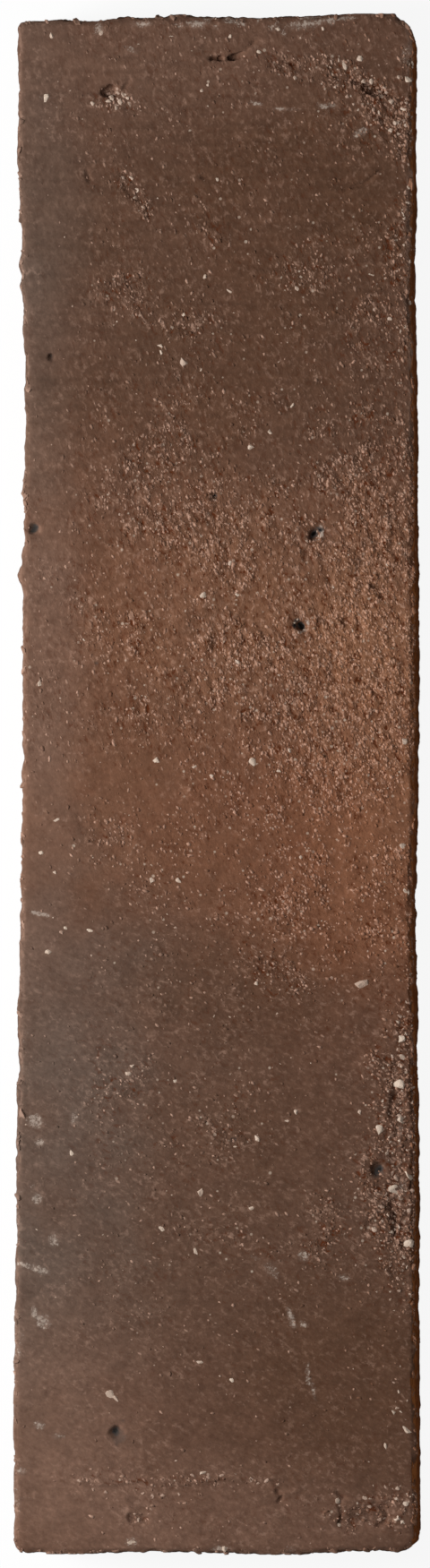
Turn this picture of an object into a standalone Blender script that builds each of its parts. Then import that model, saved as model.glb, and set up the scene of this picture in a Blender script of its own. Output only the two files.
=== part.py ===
"""A fired clay brick slip: the thin outer slice of a facing brick, lying on its sawn back.

Metres, +Z up. The origin is the middle of the sawn back. +Y runs along the length and +X across the height
that the slip has in a wall. The weathered face looks along +Z.
"""

import math

import bmesh
import bpy
from mathutils import Vector, geometry, noise

MM = 0.001

# Overall sizes
LENGTH = 250.0 * MM
WIDTH = 65.8 * MM
THICKNESS = 20.0 * MM

# How far each edge lies inside the overall rectangle, at evenly spread stations.
# The long edges are read from the top end to the bottom end, and the short ones from left to right.
LEFT_EDGE_INSETS_MM = (0.9, 0.8, 1.5, 2.1, 1.8, 1.6, 1.5, 1.3, 0.9, 0.6, 0.4, 0.1, 0.3)
RIGHT_EDGE_INSETS_MM = (0.7, 0.8, 1.1, 0.7, 0.6, 0.4, 0.5, 1.0, 0.7, 0.4, 0.4, 0.3, 0.1)
TOP_EDGE_INSETS_MM = (0.9, 1.0, 0.4, 0.6, 0.5, 0.1, 0.2)
BOTTOM_EDGE_INSETS_MM = (0.3, 0.1, 0.4, 0.3, 0.1, 0.7, 0.8)

# Rounding of the four corners in plan, and of the worn edge all round the face
TOP_LEFT_RADIUS = 1.3 * MM
TOP_RIGHT_RADIUS = 4.8 * MM
BOTTOM_RIGHT_RADIUS = 2.8 * MM
BOTTOM_LEFT_RADIUS = 1.8 * MM
ARRIS_RADIUS = 1.0 * MM
LARGEST_ARRIS_SHARE = 0.8  # of the smallest corner's radius

# Crumbs of clay that stand out of the left edge: distance from the top end, height and half width
LEFT_EDGE_BURRS_MM = (
    (39.8, 0.5, 1.0),
    (43.8, 0.5, 1.3),
    (87.6, 0.6, 1.1),
    (90.8, 1.0, 1.5),
)

# Unevenness left by firing
RIPPLE_DEPTH = 0.25 * MM
RIPPLE_LENGTH = 5.5 * MM
FACE_DISH = 0.35 * MM
FACE_DISH_LENGTH = 38.0 * MM

# Spacing of the points on the edges, down the walls and over the face
EDGE_SPACING = 1.8 * MM
WALL_SPACING = 9.0 * MM
FACE_SPACING = 5.0 * MM
FACE_MARGIN = 5.0 * MM
ARRIS_STEPS = 3
WELD_DISTANCE = 0.0001 * MM

# A hollow is a shallow ellipsoid cut out of the face. Each is dimensioned from its nearest edges:
# name, distance from the left (+) or right (-) edge, from the bottom (+) or top (-) edge,
# half width, half height, depth and turn in degrees.
HOLLOWS_MM = (
    ("tear_top_left", 15.8, -12.5, 1.6, 1.1, 0.8, 12),
    ("tear_top_right", -6.4, -12.7, 3.1, 0.9, 0.7, -22),
    ("tear_top_centre", 35.9, -7.0, 2.8, 0.6, 0.5, 6),
    ("tear_bottom_right", -8.2, 5.9, 4.9, 2.6, 0.6, 10),
    ("tear_bottom_left", 20.3, 5.8, 1.8, 1.2, 0.5, -20),
    ("pit_upper_left", 6.3, -55.6, 0.7, 0.7, 0.6, 0),
    ("pit_left_edge", 3.6, -83.6, 1.2, 1.0, 0.7, 0),
    ("pit_middle", 32.7, -78.2, 0.8, 0.7, 0.6, 0),
    ("pit_upper_right", -16.9, -84.6, 1.1, 1.4, 0.9, 0),
    ("pit_right", -18.9, -99.3, 1.2, 0.9, 0.9, -30),
    ("pit_lower_right", -6.5, 62.6, 1.4, 1.3, 0.7, 0),
    ("pit_lower_left", 17.0, 19.8, 1.4, 1.2, 0.7, 0),
)
HOLLOW_RIM_LIFT = 0.35  # share of a cutter's height that stands above the face
HOLLOW_UNEVENNESS = 0.18  # share of a cutter's radius by which it bulges and dips
HOLLOW_BULGES = 1.7  # bulges along a cutter's radius

FIRED_CLAY = (0.127, 0.068, 0.045, 1.0)  # linear colour of the brown fired skin
FIRED_CLAY_ROUGHNESS = 0.9
SHARP_ANGLE = math.radians(40)


def eased(values, share):
    """The value a given share of the way along an evenly spread list, with smooth steps between."""
    place = share * (len(values) - 1)
    index = min(int(place), len(values) - 2)
    part = place - index
    ease = part * part * (3 - 2 * part)
    return values[index] * (1 - ease) + values[index + 1] * ease


def left_edge_inset(share):
    """The left edge's inset, less the burrs that stand out of it. share runs from top to bottom."""
    inset = eased(LEFT_EDGE_INSETS_MM, share)
    from_top = share * LENGTH / MM
    for place, height, half_width in LEFT_EDGE_BURRS_MM:
        inset -= height * math.exp(-(((from_top - place) / half_width) ** 2))
    return inset * MM


def inset_along(edge, share):
    """The inset of one edge, with share running counter-clockwise round the slip."""
    if edge == "left":
        return left_edge_inset(share)
    if edge == "right":
        return eased(RIGHT_EDGE_INSETS_MM, 1 - share) * MM
    if edge == "top":
        return eased(TOP_EDGE_INSETS_MM, 1 - share) * MM
    return eased(BOTTOM_EDGE_INSETS_MM, share) * MM


# The edges in counter-clockwise order: name, direction along it and direction into the slip
EDGES = (
    ("bottom", Vector((1, 0)), Vector((0, 1))),
    ("right", Vector((0, 1)), Vector((-1, 0))),
    ("top", Vector((-1, 0)), Vector((0, -1))),
    ("left", Vector((0, -1)), Vector((1, 0))),
)
CORNER_RADII = (BOTTOM_LEFT_RADIUS, BOTTOM_RIGHT_RADIUS, TOP_RIGHT_RADIUS, TOP_LEFT_RADIUS)


def edge_corners():
    """The four corners before rounding, where neighbouring edges meet. Corner i starts edge i."""
    corners = []
    for index, (name, along, inward) in enumerate(EDGES):
        previous, _, previous_inward = EDGES[index - 1]
        nominal = Vector((-along.x - inward.x, -along.y - inward.y))
        corner = Vector((nominal.x * WIDTH / 2, nominal.y * LENGTH / 2))
        corner += inward * inset_along(name, 0.0)
        corner += previous_inward * inset_along(previous, 1.0)
        corners.append(corner)
    return corners


def on_corner_arc(corner, radius, distance, along, across):
    """A point on the rounding of a corner, whose middle has distance 0 and whose end has distance radius."""
    turn = math.radians(45) * (1 - distance / radius)
    return corner + along * radius * (1 - math.sin(turn)) + across * radius * (1 - math.cos(turn))


def outline():
    """The plan outline as evenly spread points, counter-clockwise."""
    corners = edge_corners()
    points = []
    for index, (name, along, inward) in enumerate(EDGES):
        start, end = corners[index], corners[(index + 1) % 4]
        start_radius, end_radius = CORNER_RADII[index], CORNER_RADII[(index + 1) % 4]
        length = (end - start).length
        count = round(length / EDGE_SPACING)
        for step in range(count):
            share = step / count
            from_start, from_end = share * length, (1 - share) * length
            if from_start < start_radius:
                points.append(on_corner_arc(start, start_radius, from_start, along, inward))
            elif from_end < end_radius:
                points.append(on_corner_arc(end, end_radius, from_end, -along, inward))
            else:
                ends = inset_along(name, 0.0) * (1 - share) + inset_along(name, 1.0) * share
                points.append(start.lerp(end, share) + inward * (inset_along(name, share) - ends))
    return points


def outward_normals(points):
    """The direction out of a counter-clockwise outline at each of its points."""
    normals = []
    for index, _ in enumerate(points):
        tangent = points[(index + 1) % len(points)] - points[index - 1]
        normals.append(Vector((tangent.y, -tangent.x)).normalized())
    return normals


def face_height(x, y):
    """The height of the face above the back, which dips here and there below the full thickness."""
    wave = noise.noise(Vector((x, y, 0.0)) / FACE_DISH_LENGTH)
    return THICKNESS - FACE_DISH * (0.5 + 0.5 * wave)


def arris_radius():
    """The worn edge's radius, which the smallest corner limits."""
    return min(ARRIS_RADIUS, min(CORNER_RADII) * LARGEST_ARRIS_SHARE)


def section():
    """The edge in section, from the back up, as rows of (distance in from the outline, drop, height).

    A row on the wall has its height above the back, and one on the worn edge its drop below the face.
    """
    radius = arris_radius()
    wall = THICKNESS - radius - FACE_DISH
    levels = max(1, round(wall / WALL_SPACING))
    rings = [(0.0, None, wall * level / levels) for level in range(levels)]
    for step in range(ARRIS_STEPS + 1):
        turn = math.radians(90) * step / ARRIS_STEPS
        rings.append((radius * (1 - math.cos(turn)), radius * (1 - math.sin(turn)), None))
    return rings


def ring_of(mesh, points, normals, inset, drop, height):
    """One loop of points round the slip, on the wall or on the worn edge above it."""
    ring = []
    for point, normal in zip(points, normals):
        place = point - normal * inset
        top = face_height(place.x, place.y)
        z = height if drop is None else top - drop
        ripple = noise.noise(Vector((point.x, point.y, z)) / RIPPLE_LENGTH)
        place -= normal * RIPPLE_DEPTH * (0.5 + 0.5 * ripple)
        ring.append(mesh.verts.new((place.x, place.y, z)))
    return ring


def bridge(mesh, lower, upper):
    """The band of faces between two rings."""
    for index, _ in enumerate(lower):
        after = (index + 1) % len(lower)
        mesh.faces.new((lower[index], lower[after], upper[after], upper[index]))


def face_points():
    """Staggered rows of points over the face, clear of its rim."""
    clear_width, clear_length = WIDTH - 2 * FACE_MARGIN, LENGTH - 2 * FACE_MARGIN
    columns = max(1, round(clear_width / FACE_SPACING))
    rows = max(1, round(clear_length / FACE_SPACING))
    points = []
    for row in range(rows + 1):
        stagger = 0.25 if row % 2 else -0.25
        y = (row / rows - 0.5) * clear_length
        for column in range(columns + 1):
            x = ((column + stagger) / columns - 0.5) * clear_width
            points.append(Vector((x, y)))
    return points


def fill_face(mesh, rim):
    """The face inside its rim, with points spread over it to carry its unevenness."""
    rim_points = [vertex.co.xy for vertex in rim]
    boundary = [list(range(len(rim)))]
    filled = geometry.delaunay_2d_cdt(rim_points + face_points(), [], boundary, 1, WELD_DISTANCE)
    points, triangles = filled[0], filled[2]
    vertices = list(rim)
    for x, y in points[len(rim):]:
        vertices.append(mesh.verts.new((x, y, face_height(x, y))))
    for triangle in triangles:
        mesh.faces.new([vertices[index] for index in triangle])


def fit_to_size(mesh):
    """Stretches the slip by the little that its uneven edges leave off, so that it has its stated sizes."""
    for axis, size, middle in ((0, WIDTH, 0.0), (1, LENGTH, 0.0), (2, THICKNESS, THICKNESS / 2)):
        low = min(vertex.co[axis] for vertex in mesh.verts)
        high = max(vertex.co[axis] for vertex in mesh.verts)
        for vertex in mesh.verts:
            vertex.co[axis] = middle + (vertex.co[axis] - (low + high) / 2) * size / (high - low)


def slip_mesh():
    """The slip before its hollows are cut: walls, worn edge, face and sawn back."""
    mesh = bmesh.new()
    points = outline()
    normals = outward_normals(points)
    rings = [ring_of(mesh, points, normals, *row) for row in section()]
    for lower, upper in zip(rings, rings[1:]):
        bridge(mesh, lower, upper)
    fill_face(mesh, rings[-1])
    mesh.faces.new(reversed(rings[0]))
    fit_to_size(mesh)
    return mesh


def finished(mesh, name):
    """A Blender mesh from a bmesh."""
    data = bpy.data.meshes.new(name)
    mesh.to_mesh(data)
    mesh.free()
    return data


def link(name, data):
    """A new object in the scene."""
    made = bpy.data.objects.new(name, data)
    bpy.context.scene.collection.objects.link(made)
    return made


def hollow_cutter(name, across, along, half_width, half_height, depth, turn):
    """A hidden ellipsoid that cuts one hollow, placed from the nearest edges."""
    x = math.copysign(WIDTH / 2, -across) + across
    y = math.copysign(LENGTH / 2, -along) + along
    mesh = bmesh.new()
    bmesh.ops.create_icosphere(mesh, subdivisions=2, radius=1.0)
    for vertex in mesh.verts:
        bulge = noise.noise(vertex.co * HOLLOW_BULGES + Vector((x, y, 0)) / MM)
        vertex.co *= 1 + HOLLOW_UNEVENNESS * bulge
    half_depth = depth / (1 - HOLLOW_RIM_LIFT)
    # The ellipsoid is cut above its middle, so it is made wider for its rim to have the stated size.
    rim_share = math.sqrt(1 - HOLLOW_RIM_LIFT**2)
    bmesh.ops.scale(mesh, vec=(half_width / rim_share, half_height / rim_share, half_depth), verts=mesh.verts)
    cutter = link(name + "_cutter", finished(mesh, name))
    cutter.location = (x, y, face_height(x, y) + half_depth * HOLLOW_RIM_LIFT)
    cutter.rotation_euler = (0, 0, math.radians(turn))
    cutter.hide_render = True
    cutter.display_type = "WIRE"
    return cutter


def cut_hollows(slip):
    """Takes every hollow out of the face."""
    for name, *sizes_mm, turn in HOLLOWS_MM:
        cutter = hollow_cutter(name, *(size * MM for size in sizes_mm), turn)
        cut = slip.modifiers.new("cut_" + name, "BOOLEAN")
        cut.operation = "DIFFERENCE"
        cut.object = cutter


def fired_clay():
    """The clay's plain finish."""
    material = bpy.data.materials.new("fired_clay")
    material.use_nodes = True
    shader = material.node_tree.nodes["Principled BSDF"]
    shader.inputs["Base Color"].default_value = FIRED_CLAY
    shader.inputs["Roughness"].default_value = FIRED_CLAY_ROUGHNESS
    shader.inputs["Metallic"].default_value = 0.0
    return material


def main():
    for old in list(bpy.data.objects):
        bpy.data.objects.remove(old)
    slip = link("brick_slip", finished(slip_mesh(), "brick_slip"))
    slip.data.materials.append(fired_clay())
    slip.data.shade_smooth()
    slip.data.set_sharp_from_angle(angle=SHARP_ANGLE)
    cut_hollows(slip)


main()
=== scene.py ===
import math
import random

import bmesh
import bpy
import numpy as np
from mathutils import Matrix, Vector
from mathutils.bvhtree import BVHTree


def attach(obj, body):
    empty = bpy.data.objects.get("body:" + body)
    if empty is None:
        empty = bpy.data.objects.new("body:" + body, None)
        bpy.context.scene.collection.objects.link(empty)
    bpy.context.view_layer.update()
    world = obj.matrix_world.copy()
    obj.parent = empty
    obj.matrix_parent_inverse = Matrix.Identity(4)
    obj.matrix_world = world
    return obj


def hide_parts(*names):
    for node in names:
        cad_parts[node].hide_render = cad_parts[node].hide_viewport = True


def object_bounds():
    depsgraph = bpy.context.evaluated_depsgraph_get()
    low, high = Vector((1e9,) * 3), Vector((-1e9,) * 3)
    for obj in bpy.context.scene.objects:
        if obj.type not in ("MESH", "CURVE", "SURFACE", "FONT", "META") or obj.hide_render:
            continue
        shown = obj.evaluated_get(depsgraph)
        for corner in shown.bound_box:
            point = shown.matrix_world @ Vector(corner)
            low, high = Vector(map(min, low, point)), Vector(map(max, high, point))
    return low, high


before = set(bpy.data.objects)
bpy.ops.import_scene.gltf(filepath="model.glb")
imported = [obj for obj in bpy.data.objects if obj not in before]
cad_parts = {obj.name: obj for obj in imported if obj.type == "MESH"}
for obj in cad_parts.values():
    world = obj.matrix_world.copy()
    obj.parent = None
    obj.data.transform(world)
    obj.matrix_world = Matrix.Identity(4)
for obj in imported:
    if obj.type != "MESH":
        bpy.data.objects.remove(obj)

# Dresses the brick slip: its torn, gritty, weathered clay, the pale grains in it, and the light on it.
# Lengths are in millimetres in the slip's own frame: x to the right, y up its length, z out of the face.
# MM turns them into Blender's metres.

MM = 0.001
SEED = 7

# The slip's sizes, read from the frame
CAD_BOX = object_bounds()
HALF_WIDTH = CAD_BOX[1].x / MM
HALF_LENGTH = CAD_BOX[1].y / MM
THICKNESS = CAD_BOX[1].z / MM

# Fineness of the clay's surface
VOXEL = 0.32
TRIANGLES = 195_000

# The face's charts: maps of relief and colour laid out over the face
CELL = 0.16
COLUMNS = 450
ROWS = 1620

# The picture: the slip seen from above and a little from its right
LENS_SENSOR = 36.0
CAMERA_DISTANCE = 1500.0
CAMERA_LEAN = math.radians(2.8)
VIEW_HEIGHT = 254.3
VIEW_CENTRE = (-0.02, 0.08)

# The light: a long soft window to the left, and a weak even sky
WINDOW_PLACE = (-420.0, 0.0, 330.0)
WINDOW_SIZE = (160.0, 520.0)
WINDOW_WATTS = 4.1
SKY = 0.16

# The floor: its gap below the flat back keeps the two out of one plane
FLOOR_TONE = 0.35
FLOOR_SHADOW = 0.09
FLOOR_HALF_SIZE = 4000
FLOOR_GAP = 0.02


def srgb(red, green, blue):
    """A colour as it is seen, 0 to 255 a channel, in a shader's linear numbers."""
    linear = [((part / 255 + 0.055) / 1.055) ** 2.4 for part in (red, green, blue)]
    return (*linear, 1.0)


BROWN = srgb(98, 71, 57)
FLASH = srgb(115, 80, 61)
EMBER = srgb(143, 100, 74)
RED = srgb(122, 77, 55)
BLOOM = srgb(101, 84, 74)
SHADE = srgb(86, 60, 44)
ROSE = srgb(122, 93, 78)
# The dark of the sand's gaps: the broken skin's own colour, and painted shade
GAP = srgb(88, 46, 26)
# The darkness laid on sunken places as painted shade
PIT_SHADE = srgb(62, 37, 24)
RUST = srgb(98, 60, 43)
CRUMB = srgb(202, 165, 145)
# A painted highlight for the arrises, which lifts the shade that the light leaves on them
ARRIS_HIGHLIGHT = srgb(142, 112, 96)
# Pale lime, also the colour of the painted highlight on the iron spots' rims
LIME_AND_HIGHLIGHT = srgb(174, 157, 144)
IRON = srgb(66, 64, 62)
IRON_CORE = srgb(24, 20, 18)
WALL = srgb(158, 90, 48)
DARK_WALL = srgb(110, 62, 36)
# Painted light: a brighter, warmer colour than the clay, which lifts the shade on the right edge
WARM_EDGE_LIGHT = srgb(192, 118, 66)
CORE = srgb(150, 98, 72)
DULL_STONE = srgb(134, 101, 84)
QUARTZ = srgb(208, 191, 172)
LIGHTER = (2.0, 2.0, 2.0, 1.0)

# The clay's grain: how the strokes in it lie, in degrees from the x axis
STEEP_GRAIN = 112
SLACK_GRAIN = 150
GRAIN_SPREAD = 25

# Where the warm band across the middle starts and ends, at x = 0
FLASH_TOP = 45.0
FLASH_FOOT = -24.0

# The charts that the clay and its crumbs read. Slack is 1 where the grain lies slack, 0 where it is steep
COLOUR_CHARTS = ("flash", "ember", "bloom", "red", "shade", "rose", "grit", "slack", "drag")

# The soft borders of patches, as a share of their size
STAIN_FEATHER = 0.75
SANDY_FEATHER = 0.5
TORN_FEATHER = 0.35
LIME_FEATHER = 0.6

# The skin's usual depth below its highest points, and the heights up to which the back is flat and sawn
SKIN_DEPTH = 0.16
FLAT_BACK = 0.08
SAWN_BELOW = 0.02

# Where rays start: well beside the slip, past its ends and above it
BESIDE = 80
PAST_END = 180
ABOVE = 60

# Chips out of the upper edges: how far below the face, how much they look up, how wide, how deep for their
# width, and the share of that depth on the two ends
CHANCE = random.Random(SEED + 4)
EDGE_CHIPS = 220
EDGE_DROP = 0.7
EDGE_RISE = 0.8
EDGE_CHIP_RADIUS = (0.4, 0.9)
EDGE_CHIP_DEPTH = (0.12, 0.28)
END_CHIP_DEPTH = 0.4

# Wider and shallower ones, where the right edge is worn rounder
WORN_CHIPS = 70
WORN_LENGTH = (-120.0, 112.0)
WORN_DROP = (0.3, 1.2)
WORN_CHIP_RADIUS = (0.6, 1.8)
WORN_CHIP_DEPTH = (0.08, 0.18)

# The tables of patches hold ovals: x, y, half width, half height, turn in degrees, and then what is named

# Stains in the clay, by colour: strength
STAINS = {
    "bloom": (
        (-30.5, 92, 9, 34, 0, 0.7), (-31.5, 62, 7, 20, 0, 0.6), (-28, -58, 17, 38, 0, 0.9),
        (-12, -60, 18, 34, 10, 0.28), (2, -76, 28, 20, 8, 0.15), (-31.5, -92, 6, 20, 0, 0.6),
        (-31, 20, 7, 50, 0, 0.4), (-13, 92, 9, 40, 0, 0.15),
    ),
    "shade": (
        (-2, 88, 26, 22, 0, 0.35), (21.5, 98, 18, 16, 0, 0.5), (9.5, 86, 30, 22, 0, 0.4),
        (0, 63, 34, 12, 0, 0.4), (21.5, -94, 18, 17, 0, 0.55), (0, -72, 20, 20, 0, 0.25),
        (3.5, -34, 18, 9, 0, 0.35), (2, -58, 16, 12, 0, 0.3),
    ),
    "red": ((23.4, -13, 17, 22, 12, 0.55), (5.5, -6, 16, 14, 0, 0.35)),
    "rose": (
        (-24.5, -110, 14, 20, 0, 0.75), (-2.5, -119, 26, 9, 0, 0.55), (-29.5, 16, 7, 46, 0, 0.55),
        (25.5, -118, 6.5, 3, 8, 0.4), (-12, 117, 30, 9, 0, 0.3),
    ),
    "ember": ((25, 20, 12, 20, 0, 0.7), (27, -4, 12, 18, 0, 0.65), (4, 30, 16, 16, 0, 0.3)),
}

# Where the clay is sandy: strength
SANDY = (
    (14, 36, 28, 20, -8, 0.3), (29, 36, 6, 16, 0, 0.3), (28, 10, 8, 14, 0, 0.26),
    (24, 22, 16, 26, 0, 0.54), (-7, 48, 18, 12, -10, 0.2), (-1, 66, 30, 20, 0, 0.04),
    (17, 6, 22, 20, 0, 0.18), (26, -8, 13, 20, 0, 0.32), (28, 62, 6, 22, 0, 0.3),
    (-4, 16, 22, 14, 0, 0.15), (2, -12, 22, 12, 0, 0.15), (29.4, -60, 4, 26, 0, 0.35),
    (30.4, 88, 2.6, 30, 0, 0.3), (30.4, 104, 2, 8, 6, 0.45), (26.8, 111.5, 5, 2.4, -45, 0.5),
    (18.5, 115.6, 8, 2.2, -12, 0.4), (25, 107, 7, 5, 0, 0.15), (-15.2, 110.8, 3.4, 1.8, -10, 0.65),
    (-13.2, 96.2, 4.6, 1.2, -56, 0.48), (25.2, -118, 6, 2.6, 8, 0.48), (-6, -116, 18, 4, -6, 0.3),
    (27, -62, 4, 18, 0, 0.25), (-22.5, -52, 20, 20, 0, 0.1), (-16, 80, 4, 2.4, 0, 0.3),
    (-4.5, 74.6, 5, 1.8, 0, 0.3), (-1, 89, 2, 3, 0, 0.25), (24.5, 75.5, 4.5, 2.6, 0, 0.35),
    (13, 82, 5, 1.6, 0, 0.25), (20, 88, 10, 3, 10, 0.15), (-12, 55, 12, 7, 0, 0.12),
    (23, -26, 12, 10, 0, 0.12), (12, -32, 7, 3, -20, 0.25), (-7, -113, 16, 0.9, 0, 0.75),
    (-14, -50, 6, 5, 0, 0.2), (0, -58, 9, 4, 0, 0.12), (6, -74, 16, 3, -10, 0.2), (17, -72, 4, 5, 0, 0.35),
    (-14, -64, 16, 18, 10, 0.1), (-5, -92, 16, 9, 0, 0.08),
)
SANDY_BASE = 0.155

# Torn patches, where the skin has come away: depth
TORN = (
    (-15, 110.7, 2.6, 1.2, -10, 0.1), (-17.3, 112.7, 0.9, 0.8, 0, 0.35), (18.5, 115.4, 7, 1.8, -12, 0.18),
    (26.6, 111.8, 4.4, 2, -42, 0.22), (30.6, 104.5, 1.6, 6, 8, 0.2), (-13.2, 96.2, 4.2, 0.9, -56, 0.15),
    (30.4, -48, 1.8, 8, 0, 0.3), (29.8, -62, 2.4, 8, 0, 0.35), (30.6, -78, 1.8, 7, 0, 0.25),
    (25.2, -118, 5, 2.2, 10, 0.18), (-12.4, -119, 1.2, 1.4, -35, 0.15), (27, 33, 5.5, 4, 0, 0.22),
    (-18.5, -7, 5, 2.4, -35, 0.15), (11.5, -30, 4, 2, -30, 0.2), (3, -57.5, 2.5, 1.6, 0, 0.2),
)

# Cracks, drag cuts and ridges: x and y of each point, half width, and depth, less than 0 for a ridge
CRACKS = (
    ((-0.7, 117.7, 0.9, 117.8), 0.34, 0.9), ((2.3, 117.9, 3.2, 118.1, 4, 118.5), 0.36, 0.9),
    ((4.4, 118.7, 5.5, 119.6, 6.3, 120.4), 0.3, 0.3),
    ((-16.2, 111.9, -15.4, 112.5, -14.6, 113.2, -13.9, 114.6), 0.24, 0.35),
    ((10.7, 117.4, 12.9, 116.8), 0.35, 0.4),
    ((19.6, 114.6, 22.1, 113.9, 24.4, 113.5, 26.4, 112.6), 0.22, 0.35),
    ((24.3, 113.4, 26.8, 112.6, 28.9, 111.5), 0.3, 0.5), ((20.9, 96.4, 24.4, 97.6, 27, 99.6), 0.3, 0.35),
    ((-20.9, 99.6, -20.5, 98.2), 0.45, 0.35), ((-2.2, 98.5, -1, 98.3), 0.35, 0.4),
    ((29, -50, 28.4, -53.5, 29.4, -56), 0.3, 0.4), ((28.4, -68, 29.4, -70.5, 29, -73), 0.45, 0.6),
    ((19.7, -114.8, 20.7, -115.4, 20.1, -116.8, 20.6, -118.2, 20.2, -119.8), 0.3, 0.4),
    ((26.8, -117.2, 27.7, -118.3, 27.4, -119.6, 26.3, -120.2), 0.32, 0.45),
    ((9.9, -114.6, 10.8, -115.4, 10.4, -116.2), 0.35, 0.5),
    ((-21.6, -113, -17.4, -113.5, -11, -112.8, -4.2, -113.3, 1.5, -112.4, 8.4, -112.6), 0.45, -0.16),
    ((-21.2, -113.8, -17.2, -114.3, -11, -113.6, -4.2, -114.1, 1.5, -113.2, 8, -113.4), 0.28, 0.1),
    ((8.4, -112.6, 10.5, -115.2, 13.4, -114.4), 0.4, -0.16),
    ((-14.8, -116, -13.4, -117.6, -12.4, -119.4), 0.45, -0.16),
    ((22, -116, 25.4, -116.3, 28.4, -115.8), 0.35, -0.16),
    ((21.4, -118.2, 24.5, -118, 26.4, -118.3), 0.35, -0.16),
    ((22, -120.4, 25.5, -120.8, 29, -119.8, 30.4, -117.6), 0.4, -0.16),
)

# Spots of burnt iron: x, y, radius, depth, darkness. The darkest have sharp borders and broken rims
DARKEST = 1.0
SHARP_HALO = 0.35
SOFT_HALO = 0.9
IRON_SPOTS = (
    (15.9, 40.8, 1.2, 0.25, 1), (13.8, 25.9, 1, 0.3, 1), (-15.7, -105.3, 2.6, 0, 0.34),
    (-16.1, -104.9, 1.15, 0.06, 0.75), (26.5, -62.7, 1.4, 0.15, 0.8), (-29.3, 41.4, 1.15, 0.1, 0.7),
    (-0.2, 46.9, 0.6, 0.3, 1), (-26.7, 69.6, 0.5, 0.2, 0.8), (-19.1, 19.5, 0.55, 0.1, 0.55),
    (-30.9, -48.4, 0.5, 0.1, 0.6), (2.9, -57.4, 0.6, 0.15, 0.4),
)

# Pale smears of lime and bloom: strength
SMEARS = (
    (10.5, 109.6, 3.4, 0.45, -4, 0.8), (6.9, 110.4, 1.7, 0.5, -12, 0.9), (18, 110, 1.6, 0.35, 0, 0.6),
    (23.4, 105.6, 1.1, 0.5, 30, 0.6), (-27.5, 111.6, 1, 0.55, 0, 0.6), (-14, 119.4, 1.4, 0.5, -25, 0.5),
    (-29.1, -54.8, 1.3, 1.2, 0, 0.65), (-28.5, -58.2, 1, 0.8, 0, 0.75), (-22.9, -54.4, 0.8, 2, 0, 0.4),
    (-28.9, -67.4, 1, 1, 0, 0.75), (-26.5, -74, 0.8, 1.2, 0, 0.55), (-28.7, -78.8, 1.8, 0.5, -15, 0.6),
    (-31.1, -78, 1.2, 0.4, -10, 0.55), (-28, -87.4, 0.8, 0.9, 0, 0.5), (-29.5, -85.6, 0.5, 0.8, 0, 0.55),
    (6.4, -76.6, 1.5, 0.6, -20, 0.75), (8.8, -78.4, 1.8, 1.3, -30, 0.5), (9.5, -79, 1.4, 0.7, -60, 0.5),
    (14.3, -76.4, 1.1, 1, 0, 0.6), (21, -80, 1.3, 0.5, -20, 0.7), (12.5, -87, 0.4, 1.6, 15, 0.8),
    (14.5, -87.6, 0.9, 0.6, 0, 0.6), (15.1, -95.2, 0.3, 1.4, 0, 0.6), (16.1, -99, 0.3, 1.6, 10, 0.5),
    (-28.5, -104, 1.1, 0.6, -20, 0.6), (-25.7, -105.8, 0.9, 0.5, 0, 0.45),
    (-31.5, -111.5, 0.9, 0.6, 0, 0.6), (-32.1, -92.4, 0.6, 1, 0, 0.6), (-18.8, 122.6, 0.7, 0.9, 0, 0.6),
    (-11.6, 123.4, 1.8, 0.7, 0, 0.8), (-3.2, 123.5, 2.4, 0.6, 0, 0.7), (2.6, 123.9, 1.8, 0.4, 0, 0.6),
    (9.6, 122.8, 0.8, 0.4, 25, 0.5), (11.2, 121.8, 0.5, 0.4, -30, 0.45), (15.2, 123.4, 3, 0.9, 4, 0.65),
    (20.4, 124.2, 2, 0.5, 0, 0.6), (30.9, 118.6, 0.6, 2, 0, 0.4), (-28.5, -21, 1.5, 0.25, -10, 0.8),
    (1.3, -124, 1.6, 0.6, 0, 0.6), (29.9, -56, 0.6, 4, 0, 0.4), (30.1, -66, 1, 1.6, 0, 0.45),
    (12.1, -124.2, 1, 0.6, 0, 0.4), (-13.7, -123, 0.8, 0.8, 0, 0.45),
)

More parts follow.
